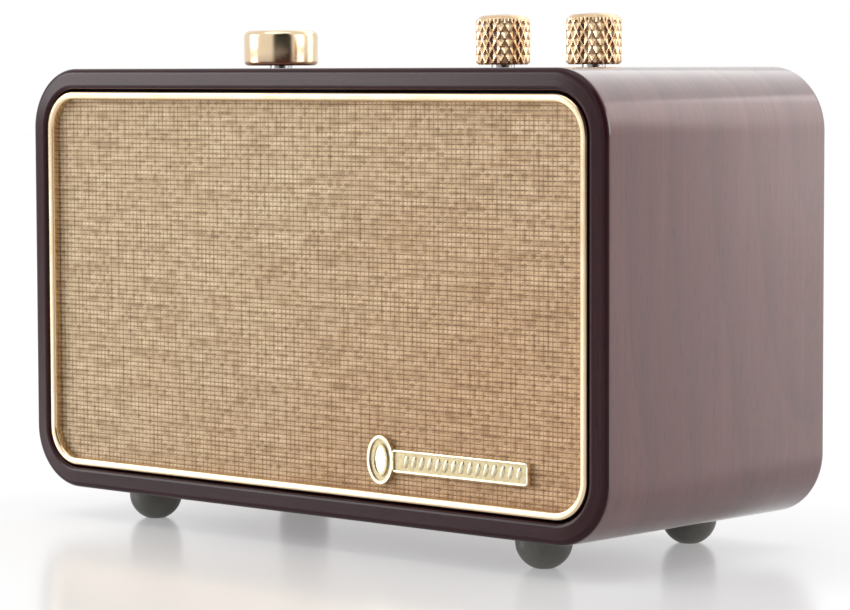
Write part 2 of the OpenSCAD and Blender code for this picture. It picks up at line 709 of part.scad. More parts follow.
// A tinned can over the tuner.
module receiver_shield() {
    can = [20, 4, 16];
    translate([board_x - 5, board_front_y - can[1] - glue, board_z - 6 - can[2] / 2])
        color([0.75, 0.75, 0.76]) difference() {
            cube(can);
            translate([0.5, 0.5, 0.5]) cube([can[0] - 1, can[1], can[2] - 1]);
        }
}

module main_board_screws() {
    color([0.6, 0.6, 0.62]) at_bosses() {
        bar_y(0, 0, board_screw_r, board_front_y - glue, panel_in_y + 0.5);
        bar_y(0, 0, board_head_r, board_front_y - glue - board_head_h, board_front_y - glue);
    }
}

usb_w = 9;
usb_h = 3.2;
module usb_socket() {
    length = panel_out_y - socket_lip - board_back_y - glue;
    shell = 0.35;
    color([0.75, 0.75, 0.77]) translate([usb_x, panel_out_y - socket_lip, socket_z]) rotate([90, 0, 0]) {
        difference() {
            linear_extrude(length) rounded_rect(usb_w, usb_h, usb_h / 2 - 0.05);
            translate([0, 0, -cut]) linear_extrude(length - 1.5 + cut)
                rounded_rect(usb_w - 2 * shell, usb_h - 2 * shell, usb_h / 2 - shell - 0.05);
        }
        translate([-usb_w * 0.37, -0.35, 1]) cube([usb_w * 0.74, 0.7, length - 1.5]);
    }
}

aux_barrel_r = 3;
aux_bore_r = 1.8;
module aux_socket() {
    block = 9;
    depth = boss_h - 0.3;
    color([0.09, 0.09, 0.10]) difference() {
        union() {
            translate([aux_x - block / 2, board_back_y + glue, socket_z - block / 2]) cube([block, depth, block]);
            bar_y(aux_x, socket_z, aux_barrel_r, board_back_y + depth, panel_out_y - socket_lip);
        }
        bar_y(aux_x, socket_z, aux_bore_r, board_back_y + 1, panel_out_y + cut);
    }
}

// --- Controls --------------------------------------------------------------

spacer_screw_r = 1.5;
spacer_bite = 3.5;
module at_spacers() {
    for (sx = [-1, 1], sy = [-1, 1]) translate([sx * spacer_x, knob_y + sy * spacer_y, 0]) children();
}

module control_board() {
    color([0.10, 0.32, 0.20]) difference() {
        union() {
            translate([-control_board_w / 2, knob_y - control_board_d / 2, control_top_z - pcb_t - glue])
                cube([control_board_w, control_board_d, pcb_t]);
            translate([control_header_x - header[0] / 2, knob_y + control_board_d / 2 - header[1] - 2,
                       control_top_z - pcb_t - header[2] - glue])
                cube([header[0], header[1], header[2] + 0.1]);
        }
        at_spacers() translate([0, 0, control_top_z - pcb_t - cut]) cylinder(r = spacer_screw_r + screw_play, h = pcb_t + 2 * cut);
    }
}

module control_board_spacers() {
    color([0.85, 0.85, 0.82]) at_spacers() translate([0, 0, control_top_z]) difference() {
        cylinder(r = 2.8, h = spacer_h - glue);
        translate([0, 0, -cut]) cylinder(r = spacer_screw_r + screw_play, h = spacer_h + 2 * cut);
    }
}

module control_board_screws() {
    color([0.6, 0.6, 0.62]) at_spacers() translate([0, 0, control_top_z - pcb_t - 2 * glue])
        screw_up(spacer_screw_r, pcb_t + 2 * glue + spacer_h + spacer_bite, 2.7, 1.6);
}

// A control's housing: a chamber for the collar, a bored top and a bushing.
collar_top = control_body_h - 1.05;
chamber_r = shaft_r + 1.6;
module control_body(x, w, chamber_z) {
    color([0.62, 0.63, 0.65]) translate([x, knob_y, control_top_z]) difference() {
        union() {
            translate([-w / 2, -w / 2, 0]) cube([w, w, control_body_h]);
            cylinder(r = bushing_r, h = control_body_h + bushing_h);
        }
        translate([0, 0, chamber_z]) cylinder(r = chamber_r, h = control_body_h - 1 - chamber_z);
        translate([0, 0, chamber_z]) cylinder(r = shaft_r + shaft_play, h = control_body_h + bushing_h);
    }
}

// A shaft with a flat for its knob and a collar that runs in the chamber.
module control_shaft(x, collar_z, knob_h, drop) {
    tip = knob_z + knob_h - bore_top - 0.3 - control_top_z;
    flat_z = top_z - control_top_z + knob_gap + 1;
    color([0.72, 0.72, 0.74]) translate([x, knob_y, control_top_z]) {
        translate([0, 0, collar_z]) cylinder(r = chamber_r - 0.3, h = collar_top - collar_z);
        difference() {
            translate([0, 0, collar_z]) cylinder(r = shaft_r, h = tip - collar_z);
            translate([shaft_r - drop, -shaft_r - cut, flat_z]) cube([shaft_r, 2 * (shaft_r + cut), knob_h]);
        }
    }
}

flat_drop = 1.5;
encoder_floor = 0.8;
pot_floor = 1;
encoder_collar_z = 3.15;
dome_rise = 2 * push_travel; // a press takes the dome down to half its rise
dome_t = 0.2;
module encoder_body() control_body(tuning_x, 13, encoder_floor);
module volume_pot_body() control_body(volume_x, 12, pot_floor);
module tone_pot_body() control_body(tone_x, 12, pot_floor);
module encoder_shaft() control_shaft(tuning_x, encoder_collar_z, tuning_knob_h, flat_drop);
module volume_pot_shaft() control_shaft(volume_x, pot_floor + glue, small_knob_h, flat_drop);
module tone_pot_shaft() control_shaft(tone_x, pot_floor + glue, small_knob_h, flat_drop);

// The snap dome under the push rod, and the push rod under the shaft.
module encoder_dome() {
    color([0.8, 0.8, 0.82]) translate([tuning_x, knob_y, control_top_z + encoder_floor + glue])
        rotate_extrude() polygon([
            [shaft_r + 0.6, 0], [shaft_r + 0.6, dome_t], [1, dome_rise], [0, dome_rise],
            [0, dome_rise - dome_t], [0.9, dome_rise - dome_t], [shaft_r, 0]]);
}
module encoder_plunger() {
    low = encoder_floor + dome_rise + 2 * glue;
    color([0.9, 0.9, 0.88]) translate([tuning_x, knob_y, control_top_z + low])
        cylinder(r = 2.2, h = encoder_collar_z - glue - low);
}

// A knob's blind bore with the flat that keys it to the shaft.
module knob_bore(h) {
    difference() {
        translate([0, 0, -cut]) cylinder(r = shaft_r + glue, h = h - bore_top + cut);
        translate([shaft_r - flat_drop + glue, -shaft_r - cut, 1 + 2 * glue]) cube([shaft_r, 2 * (shaft_r + cut), h]);
    }
}

// A smooth turned knob with a rounded rim at its top and bottom.
module tuning_knob() {
    r = tuning_knob_dia / 2;
    round_top = 1.4;
    round_low = 0.7;
    color([0.90, 0.78, 0.56]) translate([tuning_x, knob_y, knob_z]) difference() {
        rotate_extrude() polygon(concat(
            [[0, 0], [r - round_low, 0]],
            [for (i = [0 : 6]) let (a = i * 90 / 6)
                [r - round_low + round_low * sin(a), round_low - round_low * cos(a)]],
            [for (i = [0 : 8]) let (a = i * 90 / 8)
                [r - round_top + round_top * cos(a), tuning_knob_h - round_top + round_top * sin(a)]],
            [[0, tuning_knob_h]]));
        knob_bore(tuning_knob_h);
    }
}

// A knurled knob: the knurl's crests lie on its outer cylinder.
module small_knob(x) {
    r = small_knob_dia / 2;
    chamfer = 1.3;
    crown = 0.5;
    color([0.80, 0.62, 0.32]) translate([x, knob_y, knob_z]) difference() {
        rotate_extrude() polygon(concat(
            [[0, 0], [r - 0.5, 0], [r, 0.5], [r, small_knob_h - crown - chamfer],
             [r - chamfer, small_knob_h - crown]],
            [for (i = [1 : 8]) let (a = i * 90 / 8)
                [(r - chamfer) * cos(a), small_knob_h - crown + crown * sin(a)]]));
        knob_bore(small_knob_h);
    }
}
module volume_knob() small_knob(volume_x);
module tone_knob() small_knob(tone_x);

// --- Battery, aerial and leads ---------------------------------------------

module battery_cells() {
    color([0.20, 0.45, 0.62]) for (s = [-1, 1])
        translate([tray_x - cell_l / 2, tray_y + s * (cell_r + tray_play / 2),
                   floor_z + glue + tray_wall + glue + cell_r])
            rotate([0, 90, 0]) {
                cylinder(r = cell_r, h = cell_l - 1);
                cylinder(r = 3, h = cell_l);
            }
}

module battery_tray() {
    color([0.13, 0.13, 0.14]) translate([tray_x - tray_l / 2, tray_y - tray_d / 2, floor_z + glue]) difference() {
        cube([tray_l, tray_d, tray_h]);
        translate([tray_wall, tray_wall, tray_wall])
            cube([tray_l - 2 * tray_wall, tray_d - 2 * tray_wall, tray_h]);
    }
}

module ferrite_rod() {
    color([0.22, 0.21, 0.21]) translate([-rod_l / 2, rod_y, rod_z]) rotate([0, 90, 0]) cylinder(r = rod_r, h = rod_l);
}

coil_l = 24;
module aerial_coil() {
    color([0.74, 0.45, 0.25]) translate([-coil_l / 2, rod_y, rod_z]) rotate([0, 90, 0]) difference() {
        cylinder(r = rod_r + 0.9, h = coil_l);
        translate([0, 0, -cut]) cylinder(r = rod_r + glue, h = coil_l + 2 * cut);
    }
}

module aerial_clips() {
    clip_w = 5;
    half = rod_r + 0.8;
    color([0.85, 0.84, 0.80]) for (s = [-1, 1]) translate([s * (rod_l / 2 - 8) - clip_w / 2, 0, 0]) difference() {
        translate([0, rod_y - half, rod_z - half]) cube([clip_w, 2 * half, ceiling_z - glue - rod_z + half]);
        translate([-cut, rod_y, rod_z]) rotate([0, 90, 0]) cylinder(r = rod_r + glue, h = clip_w + 2 * cut);
    }
}

lead_r = 0.9;
header_y = board_front_y - header[1] - glue; // front face of the main board's headers
tag_y = driver_y + basket_t + 4.7;
module driver_leads() {
    color([0.70, 0.12, 0.10]) {
        for (i = [0, 1]) let (side = 2 * i - 1, x = side * driver_x)
            lead([[x, tag_y - 1, mid_z + hole_r + 3.2 + lead_r], [x - side * 1, tag_y + 5, mid_z + hole_r + 3],
                  [x - side * 6, header_y - 26, header_z + 12 + 4 * i],
                  [driver_header_x[i] + 4, header_y - 10, header_z + 7 + 3 * i],
                  [driver_header_x[i], header_y - 4, header_z], [driver_header_x[i], header_y, header_z]], lead_r);
    }
}

module battery_lead() {
    color([0.12, 0.12, 0.12])
        lead([[tray_left - glue, tray_y, floor_z + 9], [tray_left - 4, tray_y, floor_z + 9],
              [tray_left - 8, tray_y + 4, floor_z + 14],
              [battery_header_x - 2, header_y - 8, battery_header_z - 6],
              [battery_header_x, header_y - 4, battery_header_z], [battery_header_x, header_y, battery_header_z]], lead_r);
}

control_header_z = control_top_z - pcb_t - header[2] - 2 * glue;
module control_lead() {
    y0 = knob_y + control_board_d / 2 - header[1] / 2 - 2;
    color([0.80, 0.80, 0.78])
        lead([[control_header_x, y0, control_header_z], [control_header_x, y0, control_header_z - 4],
              [control_header_x, (y0 + header_y) / 2 - 1, header_z + 3],
              [control_header_x, header_y - 3, header_z], [control_header_x, header_y, header_z]], 1.2);
}

cabinet();
rear_frame();
baffle();
bezel();
grille_frame();
grille_cloth();
badge();
foot_front_left();
foot_front_right();
foot_rear_left();
foot_rear_right();
foot_screws();
rear_panel();
rear_gasket();
rear_panel_screws();
bass_port();
left_basket();
left_surround();
left_cone();
left_dust_cap();
left_voice_coil();
left_spider();
right_basket();
right_surround();
right_cone();
right_dust_cap();
right_voice_coil();
right_spider();
driver_top_plates();
driver_magnets();
driver_yokes();
driver_gaskets();
driver_screws();
main_board();
receiver_shield();
main_board_screws();
usb_socket();
aux_socket();
control_board();
control_board_spacers();
control_board_screws();
encoder_body();
encoder_plunger();
encoder_dome();
encoder_shaft();
volume_pot_body();
volume_pot_shaft();
tone_pot_body();
tone_pot_shaft();
tuning_knob();
volume_knob();
tone_knob();
battery_cells();
battery_tray();
ferrite_rod();
aerial_coil();
aerial_clips();
driver_leads();
battery_lead();
control_lead();
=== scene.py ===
# A portable radio: a veneered wooden loop cabinet on rubber feet, with a cloth grille in a gilt
# bezel and three turning knobs. The pieces follow each other as they are put together.
import json
import math
import bpy
from mathutils import Matrix, Vector


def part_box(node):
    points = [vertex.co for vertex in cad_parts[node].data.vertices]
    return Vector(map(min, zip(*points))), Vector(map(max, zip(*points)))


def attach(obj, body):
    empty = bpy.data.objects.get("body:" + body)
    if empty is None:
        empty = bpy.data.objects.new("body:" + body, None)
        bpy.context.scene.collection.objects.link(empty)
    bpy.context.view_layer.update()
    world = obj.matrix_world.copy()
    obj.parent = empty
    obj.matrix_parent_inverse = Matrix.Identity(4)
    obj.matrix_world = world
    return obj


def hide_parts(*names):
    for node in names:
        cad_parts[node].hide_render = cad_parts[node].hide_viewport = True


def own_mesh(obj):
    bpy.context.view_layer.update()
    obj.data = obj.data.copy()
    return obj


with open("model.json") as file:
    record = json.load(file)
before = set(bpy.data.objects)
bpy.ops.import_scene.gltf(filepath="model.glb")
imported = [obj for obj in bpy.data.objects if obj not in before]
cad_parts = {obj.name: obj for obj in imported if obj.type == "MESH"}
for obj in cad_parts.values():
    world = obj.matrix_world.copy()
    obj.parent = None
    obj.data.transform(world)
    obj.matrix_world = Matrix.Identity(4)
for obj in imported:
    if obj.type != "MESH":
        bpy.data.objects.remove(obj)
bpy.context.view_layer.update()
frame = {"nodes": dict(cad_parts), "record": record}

MM = 0.001


# ---------------------------------------------------------------------------------------------
# Cabinet: thin boards are bent round four corners and glued into a loop, and a dark
# reddish-brown veneer is laid on with its grain running round the loop. The front and back
# edges are rounded by hand and stained darker, and the whole is rubbed to a satin lacquer.

touch = 1e-5                # how near counts as touching a face, in metres
edge_reach = 0.2 * MM       # how near counts as on an edge

def pick(piece, kind, chosen):
    """Enters edit mode with just the vertices, edges or faces selected whose middle is chosen."""
    bpy.context.view_layer.objects.active = piece
    bpy.ops.object.mode_set(mode="EDIT")
    bpy.ops.mesh.select_mode(type=kind)
    bpy.ops.mesh.select_all(action="DESELECT")
    bpy.ops.object.mode_set(mode="OBJECT")
    mesh = piece.data
    if kind == "VERT":
        for vertex in mesh.vertices:
            vertex.select = chosen(vertex.co)
    elif kind == "EDGE":
        for edge in mesh.edges:
            a, b = (mesh.vertices[i].co for i in edge.vertices)
            edge.select = chosen((a + b) / 2)
    else:
        for face in mesh.polygons:
            face.select = chosen(face.center)
    bpy.ops.object.mode_set(mode="EDIT")


def started(name):
    """Names the primitive that was just added and settles its place into its mesh."""
    piece = bpy.context.object
    piece.name = piece.data.name = name
    bpy.ops.object.transform_apply(location=True, rotation=True, scale=True)
    return piece


def closed(piece, smooth=35):
    """Leaves edit mode with the faces pointing outwards and the round stretches smooth."""
    bpy.context.view_layer.objects.active = piece
    bpy.ops.object.mode_set(mode="EDIT")
    bpy.ops.mesh.select_all(action="SELECT")
    bpy.ops.mesh.remove_doubles(threshold=1e-6)
    bpy.ops.mesh.normals_make_consistent(inside=False)
    bpy.ops.object.mode_set(mode="OBJECT")
    bpy.ops.object.select_all(action="DESELECT")
    piece.select_set(True)
    bpy.ops.object.shade_smooth_by_angle(angle=math.radians(smooth))
    piece.select_set(False)


def modify(piece, kind, **settings):
    """Adds a modifier and applies it."""
    bpy.context.view_layer.objects.active = piece
    modifier = piece.modifiers.new(kind.lower(), kind)
    for key, value in settings.items():
        setattr(modifier, key, value)
    bpy.ops.object.modifier_apply(modifier=modifier.name)


def depth_inside(x, z, width, height, radius, middle):
    """How far a point lies inside a rounded rectangle."""
    over_x = abs(x) - (width / 2 - radius)
    over_z = abs(z - middle) - (height / 2 - radius)
    outside = math.hypot(max(over_x, 0), max(over_z, 0))
    return radius - outside - min(max(over_x, over_z), 0)


def bent_loop(name, width, height, radius, wall, front, back, middle, steps):
    """A loop of a board with bent corners, open at the front and the back."""
    bpy.ops.mesh.primitive_cube_add(size=1, location=(0, (front + back) / 2, middle),
                                    scale=(width, back - front, height))
    loop = started(name)
    pick(loop, "EDGE", lambda p: abs(p.x) > 0.49 * width and abs(p.z - middle) > 0.49 * height)
    bpy.ops.mesh.bevel(offset=radius, segments=steps, affect="EDGES")
    pick(loop, "FACE", lambda p: min(abs(p.y - front), abs(p.y - back)) < touch)
    bpy.ops.mesh.inset(thickness=wall)
    bpy.ops.mesh.bridge_edge_loops()
    closed(loop)
    return loop


def node_maker(tree):
    """Short ways to add a node with its inputs to a tree, and to fill in a node's inputs."""
    def put(node, inputs):
        for key, value in inputs.items():
            if isinstance(value, bpy.types.NodeSocket):
                tree.links.new(value, node.inputs[key])
            else:
                node.inputs[key].default_value = value

    def add(kind, inputs=None, **settings):
        node = tree.nodes.new("ShaderNode" + kind)
        for key, value in settings.items():
            setattr(node, key, value)
        put(node, inputs or {})
        return node

    return add, put


def finish_of(name):
    """A new finish: its material, its shader, and the short ways to add and fill in its nodes."""
    material = bpy.data.materials.new(name)
    material.use_nodes = True
    return material, material.node_tree.nodes["Principled BSDF"], *node_maker(material.node_tree)


def finished(piece, *finishes):
    """Gives a piece its finishes, in place of any that it has."""
    piece.data.materials.clear()
    for finish in finishes:
        piece.data.materials.append(finish)


def shades(add, factor, *stops):
    """A colour ramp over a factor, from (place, colour) stops."""
    ramp = add("ValToRGB", {"Fac": factor})
    band = ramp.color_ramp
    while len(band.elements) < len(stops):
        band.elements.new(0.5)
    for element, (place, colour) in zip(band.elements, stops):
        element.position = place
        element.color = (*colour, 1)
    return ramp.outputs["Color"]


def stretched(add, where, scale):
    """The same places with each axis scaled, so that a pattern is drawn out along the least."""
    return add("Mapping", {"Vector": where, "Scale": scale}).outputs["Vector"]


def noise(add, where, scale, detail, rough=0.5):
    """Soft uneven patches, from 0 to 1."""
    patches = add("TexNoise", {"Vector": where, "Scale": scale, "Detail": detail, "Roughness": rough})
    return patches.outputs["Fac"]


def spread(add, value, old, new):
    """A value carried over from one range to another."""
    ranges = {"From Min": old[0], "From Max": old[1], "To Min": new[0], "To Max": new[1]}
    return add("MapRange", {"Value": value, **ranges}).outputs["Result"]


def blended(add, share, first, second):
    """Two values mixed, with this share of the second."""
    return add("Mix", {"Factor": share, "A": first, "B": second}, data_type="FLOAT").outputs["Result"]


def shaded(add, colour, shade):
    """A colour multiplied by a shade."""
    mix = add("Mix", {"Factor": 1.0, "A": colour, "B": shade}, data_type="RGBA", blend_type="MULTIPLY")
    return mix.outputs[2]


def raised(add, height, strength, distance=0.0002):
    """The slope of a surface that a pattern raises by up to a distance, in metres."""
    return add("Bump", {"Height": height, "Strength": strength, "Distance": distance}).outputs["Normal"]


low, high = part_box("cabinet")
cabinet_w, cabinet_h = high.x - low.x, high.z - low.z
cabinet_mid = (low.z + high.z) / 2
cabinet_front, cabinet_back = low.y, high.y
cabinet_top = high.z
corner_r = 16 * MM
corner_steps = 28
wall = 5.5 * MM
cabinet = bent_loop("cabinet_veneered", cabinet_w, cabinet_h, corner_r, wall,
                    cabinet_front, cabinet_back, cabinet_mid, corner_steps)

# Holes for the three controls are drilled through the top.
hole_r = 4 * MM
drill_length = 20 * MM
for control in ("encoder_body", "volume_pot_body", "tone_pot_body"):
    low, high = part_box(control)
    x, y = (low.x + high.x) / 2, (low.y + high.y) / 2
    bpy.ops.mesh.primitive_cylinder_add(vertices=40, radius=hole_r, depth=drill_length,
                                        location=(x, y, cabinet_top))
    drill = started("drill")
    modify(cabinet, "BOOLEAN", object=drill, operation="DIFFERENCE", solver="EXACT")
    bpy.data.objects.remove(drill)

# The ends of the boards are sanded to slope away from the opening, and their edges rounded.
lip_slope = 0.35 * MM
outer_rounding, inner_rounding = 1.5 * MM, 1.2 * MM
rounding_steps = 5

def depth_in_cabinet(p):
    """How far a point lies inside the cabinet's outline."""
    return depth_inside(p.x, p.z, cabinet_w, cabinet_h, corner_r, cabinet_mid)

def on_rim(p, deep):
    """Whether a point is on an end of the loop, this far inside its outline."""
    at_end = min(abs(p.y - cabinet_front), abs(p.y - cabinet_back)) < lip_slope + touch
    return at_end and abs(depth_in_cabinet(p) - deep) < edge_reach

for side, slope in ((-1, lip_slope), (1, -lip_slope)):
    pick(cabinet, "VERT", lambda p: side * p.y > 0 and on_rim(p, 0))
    bpy.ops.transform.translate(value=(0, slope, 0))
for deep, rounding in ((0, outer_rounding), (wall, inner_rounding)):
    pick(cabinet, "EDGE", lambda p: on_rim(p, deep))
    bpy.ops.mesh.bevel(offset=rounding, segments=rounding_steps, affect="EDGES")
closed(cabinet, 40)

# The veneer's own map, in metres: across is the distance round the loop, and up is the distance
# back. The ends of the boards use another stretch of the pattern, which runs inwards.
side_from, end_from = 0.1, 0.3

def round_the_loop(x, z):
    """Distance round the loop from the bottom's left end, anticlockwise seen from the front."""
    half_w, half_h = cabinet_w / 2 - corner_r, cabinet_h / 2 - corner_r
    up = z - cabinet_mid
    bend = corner_r * math.pi / 2
    side_w, side_h = 2 * half_w, 2 * half_h
    angle = math.atan2(abs(up) - half_h, abs(x) - half_w)
    turn = corner_r * min(max(angle, 0), math.pi / 2)
    if abs(x) <= half_w and abs(up) >= half_h:
        place = half_w + x if up < 0 else side_w + 2 * bend + side_h + half_w - x
    elif abs(up) <= half_h:
        place = side_w + bend + half_h + up if x > 0 else 2 * side_w + 3 * bend + side_h + half_h - up
    elif x > 0:
        place = side_w + bend - turn if up < 0 else side_w + bend + side_h + turn
    elif up > 0:
        place = 2 * side_w + 3 * bend + side_h - turn
    else:
        place = 2 * (side_w + side_h) + 3 * bend + turn
    return place

def lay_veneer(piece):
    """Gives each face its place on the veneer's map, without a tear where the loop closes."""
    whole = 2 * (cabinet_w + cabinet_h - 4 * corner_r) + 2 * math.pi * corner_r
    layer = piece.data.uv_layers.new(name="veneer")
    for face in piece.data.polygons:
        middle = round_the_loop(face.center.x, face.center.z)
        at_end = abs(face.normal.y) > 0.7
        for corner in face.loop_indices:
            p = piece.data.vertices[piece.data.loops[corner].vertex_index].co
            place = round_the_loop(p.x, p.z)
            if place < middle - whole / 2:
                place += whole
            layer.data[corner].uv = (place, end_from + depth_in_cabinet(p) if at_end else side_from + p.y)

for layer in list(cabinet.data.uv_layers):
    cabinet.data.uv_layers.remove(layer)
lay_veneer(cabinet)

def veneer_finish(name, dark, middle, light, figured, rough, coat, shine):
    """Lacquered veneer: faint cathedral arches, soft streaks, fine fibres and short dark pores."""
    veneer, shader, add, put = finish_of(name)
    lie = add("UVMap", uv_map="veneer").outputs["UV"]
    arch_lie = add("Mapping", {"Vector": lie, "Location": (-2.1, -3.3, 0), "Scale": (7, 24, 1)})
    arches = add("TexWave", {"Vector": arch_lie.outputs["Vector"], "Scale": 0.9, "Distortion": 4.0,
                             "Detail": 3, "Detail Scale": 0.7, "Detail Roughness": 0.6},
                 wave_type="RINGS", rings_direction="SPHERICAL", wave_profile="SAW").outputs["Fac"]
    vein_stops = ((0.0, 0.56), (0.50, 0.50), (0.93, 0.0), (1.0, 0.56))
    veins = shades(add, arches, *[(place, (level,) * 3) for place, level in vein_stops])
    streaks = noise(add, stretched(add, lie, (9, 130, 1)), 1.0, 5, 0.6)
    fibres = noise(add, stretched(add, lie, (34, 1100, 1)), 1.0, 4, 0.65)
    pores = noise(add, stretched(add, lie, (210, 2300, 1)), 1.0, 1)
    grain = blended(add, 0.35, blended(add, 1 - figured, veins, streaks), fibres)
    colour = shades(add, grain, (0.28, dark), (0.50, middle), (0.72, light))
    put(shader, {"Base Color": shaded(add, colour, spread(add, pores, (0.30, 0.40), (0.60, 1.0))),
                 "Roughness": spread(add, grain, (0.2, 0.8), (rough + 0.05, rough - 0.05)),
                 "Normal": raised(add, grain, 0.10), "Specular IOR Level": shine,
                 "Coat Weight": coat, "Coat Roughness": 0.14})
    return veneer

veneer = veneer_finish("veneer", (0.060, 0.013, 0.013), (0.090, 0.021, 0.021), (0.126, 0.038, 0.036),
                       figured=0.30, rough=0.36, coat=1.0, shine=0.3)
edge_stain = veneer_finish("edge_stain", (0.018, 0.004, 0.006), (0.028, 0.007, 0.010),
                           (0.042, 0.013, 0.016), figured=0.0, rough=0.20, coat=0.0, shine=0.16)
finished(cabinet, veneer, edge_stain)
for face in cabinet.data.polygons:
    outer = depth_in_cabinet(face.center) < 0.6 * wall
    face.material_index = 0 if outer and abs(face.normal.y) < 0.25 else 1
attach(cabinet, "cabinet_body")
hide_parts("cabinet")


# ---------------------------------------------------------------------------------------------
# Bezel: a flat brass strip is bent into a ring, its front edges are rounded and it is gilded
# and polished. It is glued on the cloth, and a thin dark gap is left between it and the wood.

def metal_finish(name, light, dark, rough, smear_scale, line_scale):
    """Polished plated metal with faint smears and fine polishing lines."""
    metal, shader, add, put = finish_of(name)
    place = add("TexCoord").outputs["Object"]
    smears = noise(add, place, smear_scale, 4, 0.6)
    lines = noise(add, place, line_scale, 2)
    put(shader, {"Base Color": shades(add, smears, (0.3, dark), (0.65, light)), "Metallic": 1.0,
                 "Roughness": spread(add, smears, (0.3, 0.7), (rough * 0.7, rough * 1.4)),
                 "Normal": raised(add, lines, 0.04, 0.0001)})
    return metal

low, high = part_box("bezel")
bezel_w, bezel_h, bezel_front = high.x - low.x, high.z - low.z, low.y
bezel_r = 10 * MM
bezel_steps = 20
bezel_face = 2.1 * MM
bezel_rounding = 0.75 * MM
bezel = bent_loop("bezel_gilt", bezel_w, bezel_h, bezel_r, bezel_face,
                  low.y, high.y, cabinet_mid, bezel_steps)

def on_bezel_rim(p):
    """Whether a point is on an outer or inner edge of the bezel's face."""
    deep = depth_inside(p.x, p.z, bezel_w, bezel_h, bezel_r, cabinet_mid)
    return p.y < bezel_front + touch and min(abs(deep), abs(deep - bezel_face)) < edge_reach

pick(bezel, "EDGE", on_bezel_rim)
bpy.ops.mesh.bevel(offset=bezel_rounding, segments=4, affect="EDGES")
closed(bezel, 50)
gilt = metal_finish("gilt", (0.86, 0.68, 0.47), (0.76, 0.57, 0.36), 0.17, 90, 2500)
finished(bezel, gilt)
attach(bezel, "cabinet_body")
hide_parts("bezel")


# ---------------------------------------------------------------------------------------------
# Grille cloth: a leno weave, in which thin brown warp threads cross over every thick gold weft
# thread and pinch it, so that the weft swells in a square grid. It is stretched over the grille
# frame, over a dark scrim that hides the drivers and is wrapped round the frame's edge.

low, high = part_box("grille_cloth")
cloth_front, cloth_back = low.y, high.y
cloth_w, cloth_h = high.x - low.x, high.z - low.z
woven_margin = 1.2 * MM
warp_pitch, weft_pitch = 1.45 * MM, 1.17 * MM
warp_in, weft_in = 0.31 * MM, 0.42 * MM     # how far the threads lie behind the cloth's front
woven_w, woven_h = cloth_w - woven_margin, cloth_h - woven_margin
warps, wefts = round(woven_w / warp_pitch), round(woven_h / weft_pitch)
warp_gap, weft_gap = woven_w / warps, woven_h / wefts

def thread(name, length, crossings, breadth, wave, crown, upright):
    """A ribbon with a rounded face, raised between its crossings or, if upright, on them."""
    along, across = (1, 0) if upright else (0, 1)
    steps = [2, 2]
    steps[along] = 2 * crossings
    bpy.ops.mesh.primitive_grid_add(x_subdivisions=steps[0], y_subdivisions=steps[1], size=1)
    ribbon = bpy.context.object
    ribbon.scale[along], ribbon.scale[across] = length, breadth
    ribbon = started(name)
    pick(ribbon, "VERT", lambda p: round((p[along] / length + 0.5) * 2 * crossings) % 2 == 1)
    bpy.ops.transform.translate(value=(0, 0, wave))
    pick(ribbon, "VERT", lambda p: abs(p[across]) < breadth / 8)
    bpy.ops.transform.translate(value=(0, 0, crown))
    bpy.ops.object.mode_set(mode="OBJECT")
    return ribbon

def laid(ribbon, place, gap, upright, count):
    """Stands a thread up in the cloth and repeats it."""
    bpy.ops.object.select_all(action="DESELECT")
    ribbon.select_set(True)
    bpy.context.view_layer.objects.active = ribbon
    ribbon.rotation_euler = (math.pi / 2, 0, 0)
    ribbon.location = place
    bpy.ops.object.transform_apply(location=True, rotation=True, scale=True)
    step = (gap, 0, 0) if upright else (0, 0, gap)
    modify(ribbon, "ARRAY", count=count, use_relative_offset=False, use_constant_offset=True,
           constant_offset_displace=step)

def joined(pieces):
    """Joins pieces into the first of them, which is left selected."""
    bpy.ops.object.select_all(action="DESELECT")
    for piece in pieces:
        piece.select_set(True)
    bpy.context.view_layer.objects.active = pieces[0]
    bpy.ops.object.join()
    return pieces[0]

weft = thread("weft", woven_w, warps, 0.86 * weft_gap, wave=0.20 * MM, crown=0.27 * MM, upright=False)
laid(weft, (0, cloth_front + weft_in, cabinet_mid + (weft_gap - woven_h) / 2), weft_gap, False, wefts)
warp = thread("warp", woven_h, wefts, 0.34 * warp_gap, wave=0.16 * MM, crown=0.06 * MM, upright=True)
laid(warp, (-woven_w / 2, cloth_front + warp_in, cabinet_mid), warp_gap, True, warps + 1)

def cloth_finish(name, pale, golden, brown, stretch, fuzz):
    """Matt thread: slubs that run along it, fibres, and painted shade, darker and warmer towards the cloth's
    lower right.
    """
    cloth, shader, add, put = finish_of(name)
    place = add("TexCoord").outputs["Object"]
    slubs = noise(add, stretched(add, place, stretch), 1.0, 3, 0.6)
    square = add("VectorMath", {0: place, 1: (warp_gap, 1, weft_gap)}, operation="SNAP").outputs["Vector"]
    nub = add("TexWhiteNoise", {"Vector": square}).outputs["Value"]
    colour = shades(add, blended(add, 0.20, slubs, nub), (0.22, brown), (0.46, golden), (0.72, pale))
    # Painted shade: the colour is made darker and warmer towards the lower right, with a slow uneven drift,
    # as if lit from the front left.
    slope = add("VectorMath", {0: place, 1: (3.4, 0, -3.6)}, operation="DOT_PRODUCT").outputs["Value"]
    painted_shade_level = add("Math", {0: slope, 1: noise(add, place, 14, 2)}, operation="ADD").outputs["Value"]
    painted_shade = shades(add, painted_shade_level, (0.0, (1.0, 1.0, 1.0)), (0.75, (0.93, 0.80, 0.72)))
    put(shader, {"Base Color": shaded(add, colour, painted_shade), "Roughness": 0.75,
                 "Normal": raised(add, noise(add, place, 6000, 2), 0.25), "Specular IOR Level": 0.3,
                 "Sheen Weight": fuzz, "Sheen Roughness": 0.5, "Sheen Tint": (1.0, 0.9, 0.7, 1)})
    return cloth

